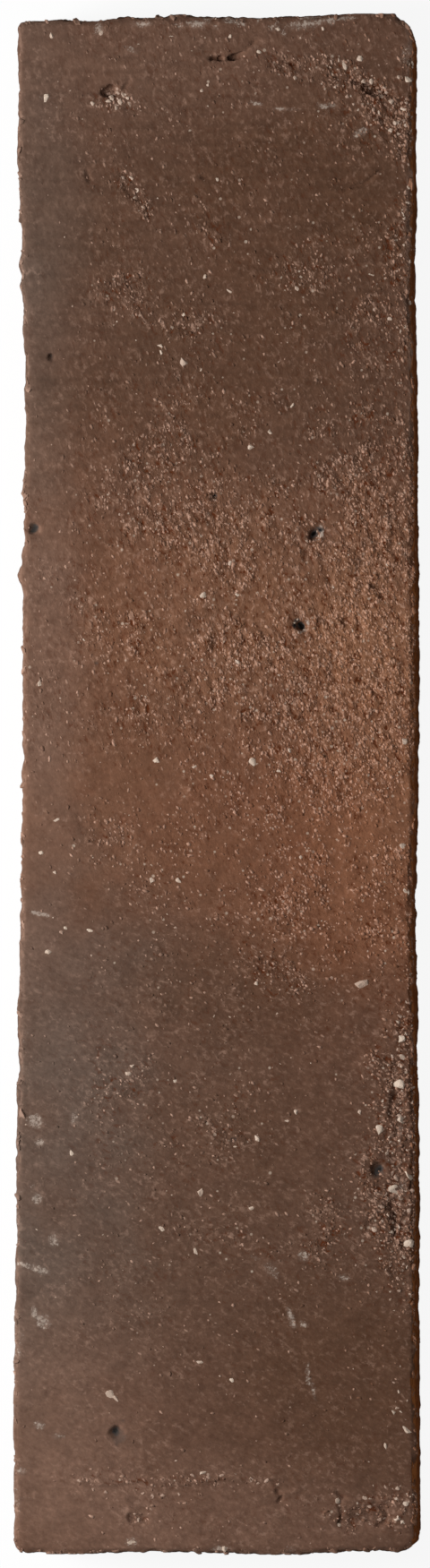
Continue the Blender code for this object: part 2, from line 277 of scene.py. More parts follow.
# Grains large enough to know by place: x, y, half size, tone (0 clay-coloured to 1 white)
GRAINS = (
    (-27.5, 111.5, 0.75, 1), (30.4, 109.5, 0.55, 0.75), (21, 116.5, 0.5, 0.8), (23.4, 117.6, 0.45, 0.75),
    (-7.5, 121.4, 0.55, 0.85), (10.1, 122.4, 0.5, 0.75), (-18.5, 122, 0.45, 0.6),
    (-26.5, 121.5, 0.38, 0.7), (-9, 71.2, 0.52, 0.8), (-8.9, 70, 0.34, 0.9), (-4.9, 68.4, 0.62, 0.55),
    (-2.6, 67.5, 0.42, 0.7), (25.4, 82.6, 0.6, 0.75), (8.9, 57.4, 0.48, 0.7), (12.5, 61.4, 0.52, 0.75),
    (5.9, 54.7, 0.52, 0.75), (-5.2, 76.3, 0.32, 0.95), (-1.7, 82.4, 0.36, 0.65), (2.1, 80.1, 0.42, 0.6),
    (13.3, 80.5, 0.4, 0.55), (28.4, 75.3, 0.45, 0.65), (-1.9, 30.5, 0.6, 0.75), (3.5, 30.9, 0.5, 0.8),
    (2.6, 36.1, 0.55, 0.65), (3.8, 19.9, 0.52, 0.7), (-9.6, 4.1, 0.72, 0.85), (6, 3.5, 0.68, 0.75),
    (-0.7, 1.2, 0.45, 0.7), (-3.5, 2.9, 0.42, 0.65), (10.4, 2, 0.45, 0.8), (12.1, 5.4, 0.42, 0.7),
    (-28.5, 16.4, 0.42, 0.75), (-21.4, 23.5, 0.36, 0.95), (30.8, 7.3, 0.52, 0.6),
    (-25.8, -5.8, 0.88, 0.75), (-28.4, -10.9, 0.42, 0.95), (-10.3, -15.6, 0.52, 0.75),
    (-6, -15.6, 0.38, 0.7), (-26.1, -14.4, 0.34, 0.65), (-24.2, -23.5, 0.52, 0.9),
    (-20.4, -23.6, 0.48, 0.85), (-27.2, -27.3, 0.5, 0.7), (23.7, -32.2, 1.1, 0.4), (6.7, -32.1, 0.46, 0.8),
    (30.5, -10, 0.48, 0.6), (31, -17.4, 0.62, 0.8), (30.1, -41, 0.85, 0.9), (13.6, -11.8, 0.46, 0.55),
    (-13.4, -45.6, 0.6, 0.6), (-14.1, -46.8, 0.42, 0.6), (29.5, -48.5, 0.95, 0.85),
    (30.5, -54.6, 0.75, 0.85), (26.6, -56, 0.75, 0.9), (31.5, -62.8, 1.05, 0.9), (29.4, -65.6, 0.95, 0.85),
    (31.1, -74.6, 1, 0.85), (23.4, -53.2, 0.42, 0.6), (13.1, -53.1, 0.42, 0.65), (11.8, -54.5, 0.42, 0.6),
    (-23.4, -59.6, 0.46, 0.95), (-6.4, -48, 0.38, 0.9), (6.7, -57.3, 0.42, 0.8), (3.5, -58.8, 0.38, 0.7),
    (-3.1, -75.7, 0.52, 0.8), (-8.7, -72, 0.46, 0.8), (-2.6, -66.1, 0.55, 0.55), (5.9, -68.6, 0.45, 0.65),
    (31, -104.6, 0.7, 0.8), (-2.1, -111.6, 0.46, 0.65), (2.6, -96.6, 0.3, 0.95), (-2.5, -93.8, 0.36, 0.7),
    (30.7, -116.4, 0.62, 0.85), (29.3, -118.9, 0.58, 0.75), (-13.5, -123, 0.52, 0.7),
    (1.5, -124, 0.5, 0.8), (0.5, 98.4, 0.4, 0.85), (-16.8, -98.9, 0.85, 0.55), (-16, -100, 0.75, 0.5),
    (29.8, -71.6, 0.45, 0.7), (30.3, -44.2, 0.42, 0.65), (31.2, 114.3, 0.5, 1), (-1.2, 113.5, 0.3, 0.65),
    (-2.1, 112.6, 0.32, 0.6), (7, 118.7, 0.32, 0.9), (2.5, 121.2, 0.34, 0.75), (-19.9, 110.6, 0.32, 0.6),
    (-16.9, 111.4, 0.42, 0.6), (-15.4, 110.6, 0.45, 0.55), (-14.2, 111.5, 0.36, 0.6),
    (-16.2, 109.8, 0.32, 0.55), (-15, 98.7, 0.3, 0.55), (-13.6, 98.4, 0.34, 0.6),
    (-12.8, 96.5, 0.36, 0.65), (-11.7, 93.8, 0.34, 0.65), (-13.2, 95.2, 0.3, 0.55),
    (26.6, 108.9, 0.34, 0.6), (28.3, 106, 0.36, 0.65), (29.2, 107.4, 0.4, 0.6), (25.4, 114, 0.38, 0.7),
    (18.9, 115.2, 0.34, 0.65), (-16.5, 112.2, 0.55, 0.3), (-16.1, 112.9, 0.5, 0.2),
    (-17.3, 112.1, 0.45, 0.15), (-15.8, 112.2, 0.45, 0.4), (25.2, 113, 0.5, 0.4),
    (27.8, 112.2, 0.55, 0.45), (26.9, 111.5, 0.45, 0.3), (28.6, 110.9, 0.5, 0.6), (24.2, 113.9, 0.45, 0.5),
    (-17.9, 111.8, 0.4, 0.35), (-14.9, 111.9, 0.4, 0.5), (-14, 110.4, 0.38, 0.45),
    (-19.9, -114.5, 0.3, 0.15), (-17.8, -114.9, 0.3, 0.2), (-11.8, -114.9, 0.32, 0.15),
    (-10.4, -115.5, 0.35, 0.2), (-8.5, -115.4, 0.3, 0.2), (-5.9, -115.2, 0.35, 0.25),
    (-3.7, -112.2, 0.3, 0.2), (-1.2, -112.4, 0.28, 0.15), (1.1, -112, 0.3, 0.2), (3.4, -111.9, 0.3, 0.3),
    (5.8, -112.8, 0.35, 0.3), (7.1, -113.4, 0.3, 0.2), (8.3, -112.8, 0.32, 0.25),
    (10.2, -113.5, 0.28, 0.2), (-13.2, -118.3, 0.3, 0.25), (-12.4, -119.4, 0.35, 0.3),
    (-10.4, -117.5, 0.28, 0.15), (-22, -113.1, 0.3, 0.2), (16.7, 40.2, 0.26, 0.65),
    (14.9, 39.5, 0.22, 0.5), (16.5, 41.1, 0.2, 0.5), (12.8, 26.2, 0.28, 0.75), (13.4, 26.7, 0.2, 0.6),
    (14.4, 25.1, 0.24, 0.5), (13.6, 24.7, 0.2, 0.45),
)
SMALL_GRAINS = 460
STRIP_GRAINS = 300
EDGE_CRUMBS = 420

# Draws of sizes and tones: the least, how much may be added, and the two leans of the draw
SMALL_GRAIN_TONES = (0.0, 1.0, 1.1, 3.2)
STRIP_GRAIN_SIZES = (0.16, 0.65, 1.1, 4)
STRIP_GRAIN_TONES = (0.0, 0.85, 1.6, 1.8)
EDGE_CRUMB_SIZES = (0.2, 0.55, 1.2, 3.4)
EDGE_CRUMB_TONES = (0.15, 0.5, 0.8, 2)

# Crumbs on the face: how many, how closely they keep to the sand, draws of sizes and of tones, and seed
CRUMBS = {
    "clay_crumbs": (7000, 1.4, (0.14, 0.24, 1.4, 3.5), (0.0, 1.0, 0.8, 3.4), 41),
    "pale_crumbs": (5200, 2, (0.12, 0.26, 1.2, 3.2), (0.36, 0.5, 1.3, 1.3), 51),
}

# The shapes of grains and crumbs: fineness, how far drawn out, flatness, strength of soft lumps, facets cut
BIT_SHAPES = {
    "quartz_grains": (2, 1.4, 0.6, 0.1, 7),
    "clay_crumbs": (1, 2.0, 0.6, 0.15, 0),
    "pale_crumbs": (1, 2.0, 0.55, 0.16, 0),
    "edge_crumbs": (2, 2.0, 0.7, 0.16, 2),
}
HALF_SUNK = 0.45


def chart_axes():
    """The x and y of every cell of a chart."""
    across = (np.arange(COLUMNS) + 0.5) * CELL - COLUMNS * CELL / 2
    along = (np.arange(ROWS) + 0.5) * CELL - ROWS * CELL / 2
    return np.meshgrid(across, along)


X, Y = chart_axes()


def ease(value):
    """0 below 0, 1 above 1, and a smooth step between."""
    held = np.clip(value, 0.0, 1.0)
    return held * held * (3 - 2 * held)


def ramp(value, start, length):
    """A smooth step from 0 at the start to 1 a length on, or a length back if it is negative."""
    return ease((value - start) / length)


def turned(x, y, turn):
    """Places along and across a direction, in degrees from the x axis."""
    cosine, sine = math.cos(math.radians(turn)), math.sin(math.radians(turn))
    return x * cosine + y * sine, y * cosine - x * sine


def rough(seed, across, along, turn=0.0):
    """Seeded random soft bumps of the given sizes, with mean 0 and spread 1."""
    random_cells = np.random.default_rng((SEED, seed)).standard_normal((ROWS, COLUMNS))
    wave_x = np.fft.rfftfreq(COLUMNS, CELL)[None, :]
    wave_y = np.fft.fftfreq(ROWS, CELL)[:, None]
    along_waves, across_waves = turned(wave_x, wave_y, turn)
    fineness = (along_waves * along) ** 2 + (across_waves * across) ** 2
    softened = np.fft.rfft2(random_cells) * np.exp(-4 * fineness)
    softened[0, 0] = 0
    bumps = np.fft.irfft2(softened, s=(ROWS, COLUMNS))
    return bumps / bumps.std()


BORDER_WOBBLE = 0.22 * rough(1, 2.5, 2.5) + 0.15 * rough(2, 9, 9)


def patch(x, y, half_width, half_height, turn, feather, wobble=1.0):
    """One uneven oval: 1 inside and 0 outside, with a feathered border."""
    along, across = turned(X - x, Y - y, turn)
    away = np.hypot(along / half_width, across / half_height) + wobble * BORDER_WOBBLE
    return ease((1 + feather - away) / (2 * feather))


def highest(ovals, feather):
    """A chart of the highest of some ovals, each as high as its last number."""
    chart = np.zeros(X.shape)
    for *oval, height in ovals:
        chart = np.maximum(chart, height * patch(*oval, feather))
    return chart


def sample(chart, places):
    """A chart's values at any places, read smoothly between its cells."""
    column = places[:, 0] / CELL + COLUMNS / 2 - 0.5
    row = places[:, 1] / CELL + ROWS / 2 - 0.5
    left, below = np.floor(column).astype(int), np.floor(row).astype(int)
    part_x, part_y = column - left, row - below
    left, right = left % COLUMNS, (left + 1) % COLUMNS
    below, above = below % ROWS, (below + 1) % ROWS
    lower = chart[below, left] * (1 - part_x) + chart[below, right] * part_x
    upper = chart[above, left] * (1 - part_x) + chart[above, right] * part_x
    return lower * (1 - part_y) + upper * part_y


def flash_chart():
    """The warm band that the kiln left across the middle."""
    wander = 5.0 * rough(3, 14, 14) + 1.5 * rough(4, 4, 4)
    upper = FLASH_TOP - 0.1 * X + wander
    lower = FLASH_FOOT - 0.28 * X + wander
    band = ease((upper - Y) / 40 + 0.5) * ease((Y - lower) / 34 + 0.5)
    return np.clip(band * (0.88 + 0.08 * rough(5, 7, 7) + 0.1 * ramp(X, 0, 30)), 0, 1)


def stain_charts():
    """One chart for each colour of stain."""
    charts = {}
    mottle = np.clip(0.92 + 0.12 * rough(6, 6, 6), 0, 1.4)
    for name, ovals in STAINS.items():
        chart = 0.0
        for *oval, strength in ovals:
            stain = patch(*oval, STAIN_FEATHER, 0.35) * strength * mottle
            chart = np.maximum(chart, stain) + 0.25 * np.minimum(chart, stain)
        charts[name] = np.clip(chart, 0, 1)
    return charts


def grit_chart():
    """How sandy the skin is, 0 to 1."""
    grit = np.full(X.shape, SANDY_BASE)
    for *oval, strength in SANDY:
        grit += strength * patch(*oval, SANDY_FEATHER)
    band = ramp(Y, 58, -16) * ease((Y + 34 + 0.3 * X) / 20)
    grit += 0.12 * band * ramp(X, -34, 40)
    grit *= 1 - (0.65 - 0.3 * band) * ramp(X, -18, -8)
    grit *= 1 - 0.55 * ramp(Y, -82, -16)
    grit *= 1 - 0.35 * ramp(Y, -50, -16) * ramp(X, 18, -10)
    blotches = ease(0.58 + 0.36 * rough(7, 5, 7, 30) + 0.22 * rough(8, 2, 2))
    return np.clip(grit * (0.55 + 0.7 * blotches), 0, 1)


def broken_rims():
    """The pale broken rims of the darkest iron spots. Their paler lower right is painted highlight, on the
    side of each pit that the light falls on.
    """
    rims = np.zeros(X.shape)
    crumbling = ease(0.6 + 0.5 * rough(27, 0.6, 0.6))
    for x, y, radius, _, darkness in IRON_SPOTS:
        if darkness == DARKEST:
            across, along = X - x, Y - y
            away = np.hypot(across, along) / radius
            # Paler towards the lower right: painted highlight
            below_right = (across - along) / (1.4 * radius * np.maximum(away, 0.1))
            crumbled = np.clip(crumbling * (0.8 + 0.5 * below_right), 0, 1)
            rims = np.maximum(rims, crumbled * ease(1 - np.abs(away - 1.2) / 0.5))
    return rims


def lime_and_highlight_chart():
    """Pale lime and painted highlight: smears, iron spots' rims with their painted highlight, a ragged top
    edge and a haze at the lower left.
    """
    lime_and_highlight = np.maximum(broken_rims(), highest(SMEARS, LIME_FEATHER))
    top_edge = ramp(Y - HALF_LENGTH, -3.2, 1.6) * ramp(X, -14, 8) * ramp(X, 28, -8)
    lime_and_highlight = np.maximum(lime_and_highlight, 0.6 * top_edge * ease(rough(25, 0.9, 0.9) - 0.1))
    haze = ramp(X, -22, -10) * ramp(Y, -30, -20) * ease(rough(10, 2.5, 2.5) - 0.8)
    return np.clip(lime_and_highlight + 0.35 * haze, 0, 1)


def stony_chart():
    """Where torn skin lays small stones bare: down the right side, and in three patches."""
    strip = patch(29.6, -62, 3.2, 28, 0, 0.4) + 0.7 * patch(30.8, 96, 1.6, 26, 0, 0.4)
    corner = patch(24.5, 112.5, 9, 3, -24, 0.4) + patch(26, -117.5, 6, 3, 8, 0.4)
    return strip + 0.6 * corner + 0.6 * patch(-15, 110.8, 3, 1.5, 0, 0.3)


def distance_to_line(line):
    """Every cell's distance from a line through some points."""
    nearest = np.full(X.shape, np.inf)
    points = list(zip(line[::2], line[1::2]))
    for (x0, y0), (x1, y1) in zip(points, points[1:]):
        run_x, run_y = x1 - x0, y1 - y0
        share = np.clip(((X - x0) * run_x + (Y - y0) * run_y) / (run_x**2 + run_y**2), 0, 1)
        nearest = np.minimum(nearest, np.hypot(X - x0 - share * run_x, Y - y0 - share * run_y))
    return nearest


def crack_chart():
    """The depth of the cracks, with ragged sides, in mm."""
    depth = np.zeros(X.shape)
    ragged = np.clip(1 + 0.35 * rough(11, 0.7, 0.7), 0.4, 1.8)
    for line, half_width, deepest in CRACKS:
        cut = deepest * ease(1.25 - distance_to_line(line) / (half_width * ragged))
        depth = np.where(np.abs(cut) > np.abs(depth), cut, depth)
    return depth


def iron_charts():
    """The darkness of the iron spots, and the depth of their pits in mm."""
    dark, depth = np.zeros((2, *X.shape))
    ragged = 0.2 * rough(12, 0.8, 0.8) + 0.12 * rough(26, 0.45, 0.45)
    for x, y, radius, deepest, darkness in IRON_SPOTS:
        away = np.hypot(X - x, Y - y) / radius + ragged
        halo = SHARP_HALO if darkness == DARKEST else SOFT_HALO
        stain = 0.6 * ramp(away, 1.05, -halo) + 0.4 * ramp(away, 0.6, -0.25)
        dark = np.maximum(dark, darkness * stain)
        depth = np.maximum(depth, deepest * ramp(away, 0.8, -0.6))
    return dark, depth


def drag_chart():
    """Faint lines across the upper half, where the skin was dragged."""
    return rough(17, 0.5, 8) * ramp(Y, 45, 20) * ramp(Y, 123, -6)


def grain_waves(seed, angle):
    """Fine and coarser bumps drawn out along one direction."""
    return 0.6 * rough(seed, 0.6, 1.0, angle) + 0.6 * rough(seed + 1, 1.0, 1.6, angle)


def skin_relief(grit, slack, torn, drag):
    """The depth of the face's skin below its highest points, in mm."""
    grains = grain_waves(13, STEEP_GRAIN) * (1 - slack) + grain_waves(15, SLACK_GRAIN) * slack
    pits = np.maximum(0, -grains - 0.7)
    depth = SKIN_DEPTH - grit * ((0.07 + 0.05 * grit) * grains - 0.07 * pits)
    depth = depth - 0.025 * rough(18, 3, 3) - 0.035 * rough(19, 7, 9) - 0.045 * drag
    rags = np.abs(rough(20, 1.1, 1.1)) + 0.6 * np.abs(rough(21, 0.6, 0.6))
    return np.clip(depth, 0, None) + torn * np.clip(0.55 + 0.55 * (rags - 0.8), 0.05, 1.6)


def side_relief():
    """The depth of the walls' coarser skin, in mm. It is less than 0 where lumps stand out."""
    lumps = rough(22, 2.2, 2.6)
    sand = rough(23, 0.7, 0.8)
    tears = ramp(rough(24, 2.0, 3.5, 20), 0.9, 0.9)
    return 0.02 - 0.1 * lumps - 0.05 * sand + 0.22 * tears


def charts_of_the_face():
    """Every chart, by name."""
    torn = highest(TORN, TORN_FEATHER)
    iron, iron_depth = iron_charts()
    charts = {"flash": flash_chart(), "slack": ramp(Y, 20, -60), "drag": drag_chart(), **stain_charts()}
    charts |= {"lime_and_highlight": lime_and_highlight_chart(), "iron": iron, "stony": stony_chart(), "side_relief": side_relief()}
    grit = np.clip(grit_chart() * (1 - 0.5 * charts["bloom"]) + 0.8 * torn, 0, 1)
    charts["grit"] = grit * (1 - iron)
    crust = 0.05 * np.clip(2 * charts["lime_and_highlight"] + 2 * iron, 0, 1) * rough(30, 0.5, 0.5)
    skin = skin_relief(charts["grit"], charts["slack"], torn, charts["drag"])
    charts["face_relief"] = crust + (skin + crack_chart() + iron_depth)
    charts["rim_relief"] = 0.8 * rough(28, 1.0, 1.0) + 0.8 * rough(29, 3, 3)
    return charts


def read_rows(items, name, width=3):
    """One number or vector of each of a mesh's vertices or faces."""
    flat = np.empty(len(items) * width, np.float32)
    items.foreach_get(name, flat)
    return flat.reshape(-1, width).astype(float)


def surface_tree(piece):
    """A search tree of a piece's surface."""
    return BVHTree.FromObject(piece, bpy.context.evaluated_depsgraph_get())


def add_to_scene(name, data):
    """A new object of the scene."""
    made = bpy.data.objects.new(name, data)
    bpy.context.scene.collection.objects.link(made)
    return made


def finished_by(piece, kind, **settings):
    """Changes the piece's mesh by one modifier."""
    modifier = piece.modifiers.new(kind.lower(), kind)
    for name, value in settings.items():
        setattr(modifier, name, value)
    graph = bpy.context.evaluated_depsgraph_get()
    mesh = bpy.data.meshes.new_from_object(piece.evaluated_get(graph))
    piece.modifiers.clear()
    old, piece.data = piece.data, mesh
    bpy.data.meshes.remove(old)


def fine_copy(solid):
    """A fine, even copy of the slip's solid."""
    piece = add_to_scene("slip_body", solid.data.copy())
    joined = bmesh.new()
    joined.from_mesh(piece.data)
    bmesh.ops.remove_doubles(joined, verts=joined.verts, dist=0.001 * MM)
    joined.to_mesh(piece.data)
    joined.free()
    finished_by(piece, "REMESH", mode="VOXEL", voxel_size=VOXEL * MM)
    return piece


def facing(normals):
    """How far each point belongs to the face, to the back and to the walls."""
    face = ramp(normals[:, 2], 0.35, 0.5)
    back = ramp(-normals[:, 2], 0.35, 0.5)
    return face, back, 1 - face - back


def side_depth(chart, points, normals):
    """The walls' relief, laid on each along its length, from its own part of the chart."""
    x, y, z = points.T
    on_long_wall = ease(np.abs(normals[:, 0]) * 1.6 - 0.3)
    long_walls = sample(chart, np.column_stack((z + 20 * np.sign(normals[:, 0]), y)))
    short_walls = sample(chart, np.column_stack((z - 10, x + 70 * np.sign(normals[:, 1]))))
    return long_walls * on_long_wall + short_walls * (1 - on_long_wall)


def edge_points(tree, draws):
    """Random points on the upper edges, each with the direction out of the slip."""
    points = []
    perimeter = 4 * (HALF_WIDTH + HALF_LENGTH)
    for _ in range(draws):
        place = CHANCE.uniform(0, perimeter)
        if place < 4 * HALF_LENGTH:
            side = 1 if place < 2 * HALF_LENGTH else -1
            start, inward = (side * BESIDE, CHANCE.uniform(-HALF_LENGTH, HALF_LENGTH)), (-side, 0, 0)
        else:
            side = 1 if CHANCE.random() < 0.5 else -1
            start, inward = (CHANCE.uniform(-HALF_WIDTH, HALF_WIDTH), side * PAST_END), (0, -side, 0)
        hit, normal = tree.ray_cast(Vector((*start, THICKNESS - EDGE_DROP)) * MM, Vector(inward))[:2]
        if hit:
            outward = Vector((normal.x, normal.y, 0)).normalized()
            points.append((hit / MM, (outward + Vector((0, 0, EDGE_RISE))).normalized()))
    return points


def worn_points(tree):
    """The same where the right edge is worn rounder."""
    points = []
    for _ in range(WORN_CHIPS):
        start = Vector((BESIDE, CHANCE.uniform(*WORN_LENGTH), THICKNESS - CHANCE.uniform(*WORN_DROP)))
        hit = tree.ray_cast(start * MM, Vector((-1, 0, 0)))[0]
        if hit:
            points.append((hit / MM, Vector((1, 0, EDGE_RISE)).normalized()))
    return points


def bite(points, place, outward, radius, depth):
    """Takes a shallow bite out, by moving the points inside a ball onto it."""
    ball_radius = (radius**2 + depth**2) / (2 * depth)
    centre = np.array(place + outward * (ball_radius - depth))
    near = np.flatnonzero(np.abs(points[:, 1] - centre[1]) < ball_radius)
    away = points[near] - centre
    distance = np.linalg.norm(away, axis=1)
    inside = distance < ball_radius
    points[near[inside]] = centre + away[inside] * (ball_radius / distance[inside])[:, None]


def chip(points, tree):
    """Bites wide shallow chips out of the worn right edge, and small ones all round."""
    for place, outward in worn_points(tree):
        radius = CHANCE.uniform(*WORN_CHIP_RADIUS)
        bite(points, place, outward, radius, radius * CHANCE.uniform(*WORN_CHIP_DEPTH))
    for place, outward in edge_points(tree, EDGE_CHIPS):
        radius = CHANCE.uniform(*EDGE_CHIP_RADIUS) * CHANCE.choice((1, 1, 1, 1.5))
        shallow = END_CHIP_DEPTH if abs(outward.y) > 0.5 else 1.0
        bite(points, place, outward, radius, shallow * radius * CHANCE.uniform(*EDGE_CHIP_DEPTH))


def keep_in_box(mesh):
    """Holds a mesh inside the box of the slip's solid, and presses the back flat."""
    low, high = (np.array(corner) for corner in CAD_BOX)
    points = np.clip(read_rows(mesh.vertices, "co"), low, high)
    points[points[:, 2] < FLAT_BACK * MM, 2] = 0.0
    mesh.vertices.foreach_set("co", points.astype(np.float32).ravel())
    mesh.update()


def carve(piece, charts):
    """Gives the fine surface its chips and its relief."""
    mesh = piece.data
    points, normals = read_rows(mesh.vertices, "co") / MM, read_rows(mesh.vertices, "normal")
    chip(points, surface_tree(piece))
    face, back, side = facing(normals)
    depth = face * sample(charts["face_relief"], points)
    end = ramp(np.abs(points[:, 1]) - HALF_LENGTH, -4, 2)
    walls = side_depth(charts["side_relief"], points, normals)
    depth += side * np.where(walls < 0, walls * (1 + 0.6 * end), np.minimum(walls, 1.0 - 0.85 * end))
    rim_depth = np.clip(-0.05 + 0.12 * sample(charts["rim_relief"], points), -0.15, 0.18)
    depth += ease(1 - np.abs(side - 0.5) / 0.5) * rim_depth
    points -= normals * depth[:, None]
    points[back > 0.9, 2] = 0.0
    mesh.vertices.foreach_set("co", (points * MM).astype(np.float32).ravel())
    keep_in_box(mesh)


def thin_out(piece):
    """Leaves fewer triangles, mostly where the surface is flat."""
    triangles = sum(len(polygon.vertices) - 2 for polygon in piece.data.polygons)
    finished_by(piece, "DECIMATE", ratio=min(1.0, TRIANGLES / triangles), use_collapse_triangulate=True)
    keep_in_box(piece.data)


def store(mesh, name, values):
    """Keeps one number a vertex for the material to read."""
    mesh.attributes.new(name, "FLOAT", "POINT").data.foreach_set("value", values.astype(np.float32))


def painted_edge_light(points, side):
    """The painted warm light on the shaded right edge: 0 on the face and 1 on the wall."""
    return ramp(points[:, 0], 31, 1) * ramp(side, 0.04, 0.36)


def painted_arris_highlight(points, normals, side):
    """How much painted highlight the arris gets, lifting the shade that the light leaves on it: on the
    right only where it turns, in its upper part.
    """
    on_the_right = ramp(points[:, 0], 30, 1.2)
    turned_right = ramp(normals[:, 0], 0.08, 0.25) * (1 - ramp(normals[:, 0], 0.75, 0.2))
    highlight_left = 0.8 * (1 - on_the_right) * ease(1 - np.abs(side - 0.4) / 0.4)
    return highlight_left + 0.8 * on_the_right * turned_right * ramp(points[:, 1], 45, 20)


def mark(piece, charts, solid):
    """Stores what the clay's material reads: stains, edges, and how far each point is sunk."""
    mesh = piece.data
    points, normals = read_rows(mesh.vertices, "co") / MM, read_rows(mesh.vertices, "normal")
    face, back, side = facing(normals)
    for name in COLOUR_CHARTS:
        store(mesh, name, sample(charts[name], points))
    for name in ("lime_and_highlight", "iron"):
        store(mesh, name, sample(charts[name], points) * face)
    tree = surface_tree(solid)
    # How far each point is sunk below the solid; the material darkens the deep ones as painted shade
    store(mesh, "sunk", np.array([tree.find_nearest(Vector(point) * MM)[3] / MM for point in points]))
    outer = np.maximum(np.abs(points[:, 0]) - HALF_WIDTH, np.abs(points[:, 1]) - HALF_LENGTH)
    side *= ramp(outer, -3.6, 0.8)
    # The painted warm light of the right edge
    warm = painted_edge_light(points, side)
    low = 0.55 * ramp(points[:, 2], THICKNESS - 2, -5)
    store(mesh, "warm", warm)
    # On the right edge the wall colour is laid at full strength with that painted light
    store(mesh, "wall", np.maximum(warm, low) * ramp(side, 0.75, 0.25))
    # The arris's painted highlight
    store(mesh, "arris", painted_arris_highlight(points, normals, side))
    store(mesh, "sawn", np.maximum(back, points[:, 2] < SAWN_BELOW))


def smooth_but_back(mesh):
    """Smooth shading, except on the flat back."""
    mesh.polygons.foreach_set("use_smooth", read_rows(mesh.polygons, "normal")[:, 2] > -0.95)


class Nodes:
    """Builds a material's or a world's nodes out of plain steps."""

    def __init__(self, owner):
        owner.use_nodes = True
        self.owner = owner
        self.tree = owner.node_tree

    def feed(self, node, inputs):
        """Sets a node's inputs, by name or place, or links them."""
        for key, value in inputs.items():
            if isinstance(value, bpy.types.NodeSocket):
                self.tree.links.new(value, node.inputs[key])
            else:
                node.inputs[key].default_value = value

    def into(self, name, inputs):
        """Feeds a node that is there from the start."""
        self.feed(self.tree.nodes[name], inputs)

    def add(self, kind, inputs, **settings):
        """One node, with its inputs and its settings."""
        made = self.tree.nodes.new("ShaderNode" + kind)
        for name, value in settings.items():
            setattr(made, name, value)
        self.feed(made, inputs)
        return made

    def read(self, name):
        """A number that the mesh keeps at each vertex."""
        return self.add("Attribute", {}, attribute_name=name).outputs["Fac"]

    def math(self, operation, first, second):
        """One sum."""
        return self.add("Math", {0: first, 1: second}, operation=operation).outputs[0]

    def times(self, first, second):
        """One number times another."""
        return self.math("MULTIPLY", first, second)

    def scaled(self, value, factor, plus):
        """The value times a factor, and a number more."""
        return self.add("Math", {0: value, 1: factor, 2: plus}, operation="MULTIPLY_ADD").outputs[0]

    def mix(self, share, first, second, blend="MIX"):
        """One colour over another."""
        inputs = {0: share, 6: first, 7: second}
        return self.add("Mix", inputs, data_type="RGBA", blend_type=blend).outputs[2]

    def step(self, value, low, high):
        """0 at low, 1 at high, smooth between."""
        inputs = {"Value": value, "From Min": low, "From Max": high}
        return self.add("MapRange", inputs, interpolation_type="SMOOTHSTEP").outputs["Result"]

    def noise(self, place, size, detail=2.0, roughness=0.5, distortion=0.0):
        """Cloudy noise whose main bumps have a size in mm."""
        inputs = {"Vector": place, "Scale": 1 / size, "Detail": detail, "Roughness": roughness}
        return self.add("TexNoise", {**inputs, "Distortion": distortion}).outputs["Fac"]

    def specks(self, place, spacing, largest, share):
        """Scattered round specks: 1 inside one, 0 outside. A share of the places holds one."""
        cells = self.add("TexVoronoi", {"Vector": place, "Scale": 1 / spacing})
        chance = self.add("SeparateColor", {0: cells.outputs["Color"]})
        radius = self.scaled(chance.outputs[0], largest * 0.6, largest * 0.4)
        inside = self.step(cells.outputs["Distance"], radius, self.times(radius, 0.55))
        held = self.math("LESS_THAN", chance.outputs[1], share)
        return self.times(inside, held), chance.outputs[2]

    def bump(self, height, strength, distance):
        """Relief too fine for the mesh."""
        return self.add("Bump", {"Height": height, "Strength": strength, "Distance": distance}).outputs[0]

    def surface(self, colour, roughness, gloss, **more):
        """Ends a material in its plain shader."""
        ends = {"Base Color": colour, "Roughness": roughness, "Specular IOR Level": gloss}
        self.into("Principled BSDF", {**ends, **more})
        return self.owner


def places(nodes):
    """Places on the slip in mm."""
    place = nodes.add("TexCoord", {}).outputs["Object"]
    return nodes.add("VectorMath", {0: place, 3: 1 / MM}, operation="SCALE").outputs[0]


def along_grain(nodes, plain, texture, stretch):
    """A texture drawn out along the clay's grain."""
    drawn = []
    for angle in (STEEP_GRAIN, SLACK_GRAIN):
        inputs = {"Vector": plain, "Rotation": (0, 0, math.radians(angle)), "Scale": (stretch, 1, 1)}
        drawn.append(texture(nodes.add("Mapping", inputs, vector_type="TEXTURE").outputs[0]))
    inputs = {0: nodes.read("slack"), 2: drawn[0], 3: drawn[1]}
    return nodes.add("Mix", inputs, data_type="FLOAT").outputs[0]


def clay_colour(nodes, plain):
    """The skin's colour before its grit: kiln flashes, bloom and stains."""
    flash = nodes.read("flash")
    colour = nodes.mix(flash, BROWN, FLASH)
    for name, stain in (("ember", EMBER), ("red", RED), ("bloom", BLOOM)):
        colour = nodes.mix(nodes.read(name), colour, stain)
    rust = nodes.step(nodes.noise(plain, 3.5, 3.0, 0.6), 0.5, 0.66)
    colour = nodes.mix(nodes.times(rust, nodes.times(flash, 0.28)), colour, RUST)
    colour = nodes.mix(nodes.read("rose"), colour, ROSE)
    colour = nodes.mix(nodes.read("shade"), colour, SHADE)
    mottle = nodes.math("ADD", nodes.noise(plain, 3.2, 3.0, 0.6), nodes.noise(plain, 0.9, 4.0, 0.7))
    # The drag lines are painted a little lighter where they stand raised: painted highlight standing in for
    # the shading their relief would show
    tint = nodes.math("ADD", nodes.scaled(mottle, 0.6, 0.4), nodes.times(nodes.read("drag"), 0.035))
    return nodes.mix(1.0, colour, tint, "MULTIPLY")


def pale_grit_and_highlight(nodes, colour):
    """The clay's pale colour: rubbed grit and pale crumbs, and the painted highlight on the sand's tops."""
    return nodes.mix(0.7, nodes.mix(1.0, colour, LIGHTER, "MULTIPLY"), CRUMB)


